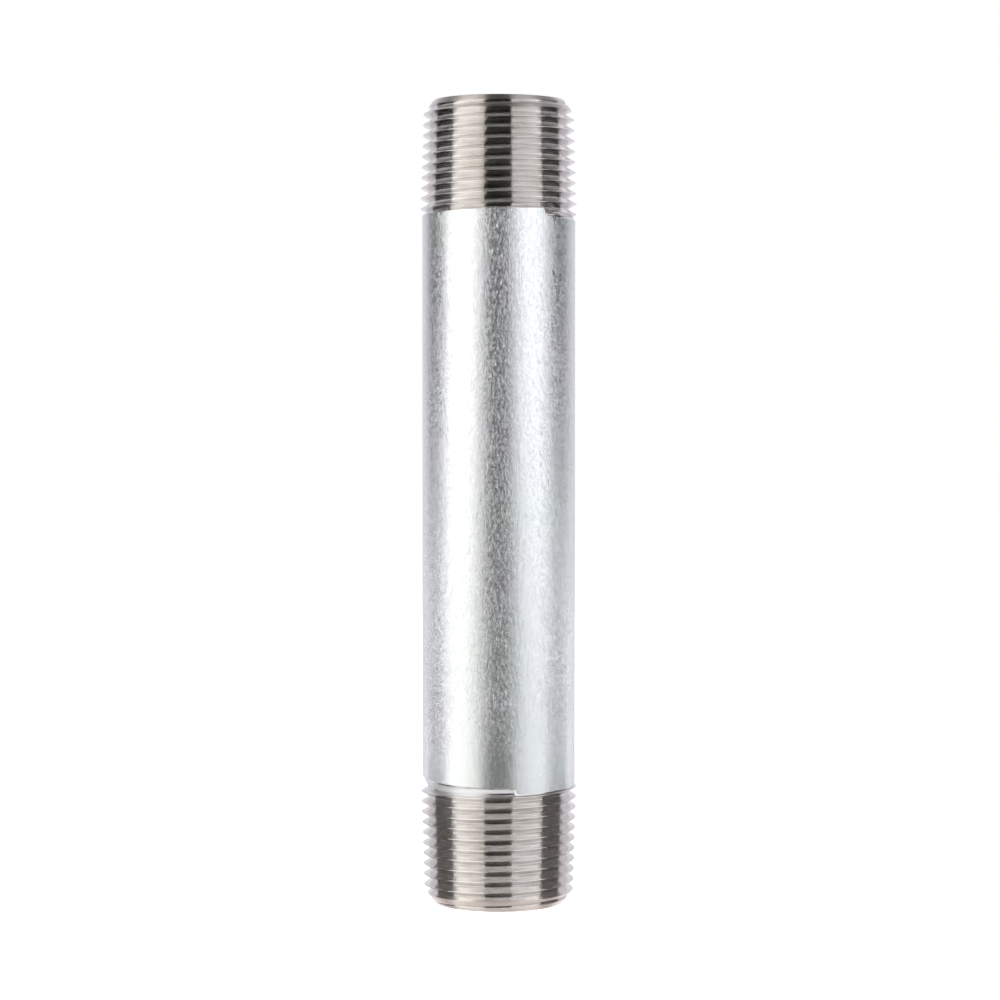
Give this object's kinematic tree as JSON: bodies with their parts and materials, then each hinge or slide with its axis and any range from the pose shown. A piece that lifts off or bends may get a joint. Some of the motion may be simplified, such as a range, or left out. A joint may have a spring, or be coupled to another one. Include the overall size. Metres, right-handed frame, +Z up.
{
  "type": "threaded pipe nipple",
  "caption": "Straight galvanised steel pipe nipple with a tapered male pipe thread on each end and a plain through bore.",
  "frame": {"origin": "centre of the lower end face, on the pipe axis", "axes": "+Z up along the pipe axis; -Y is the front of the pipe; +X is to the right seen from the front"},
  "size_m": [0.0272, 0.0272, 0.1397],
  "materials": {
    "plain_steel": "carbon steel pipe wall, covered by zinc on both sides",
    "cut_steel": "bright bare steel as the threading die left it, with a thin oil film",
    "zinc": "hot-dip galvanised zinc, satin with fine mottling, pits and handling scratches",
    "bore_zinc": "hot-dip galvanised zinc in the bore, duller than outside",
    "weld_metal": "fused weld metal, covered by zinc on both sides"
  },
  "bodies": {
    "root": {"pipe_wall": "plain_steel", "upper_threaded_end": "cut_steel", "lower_threaded_end": "cut_steel", "outer_zinc_coat": "zinc", "bore_zinc_coat": "bore_zinc", "weld_seam": "weld_metal"}
  },
  "joints": []
}
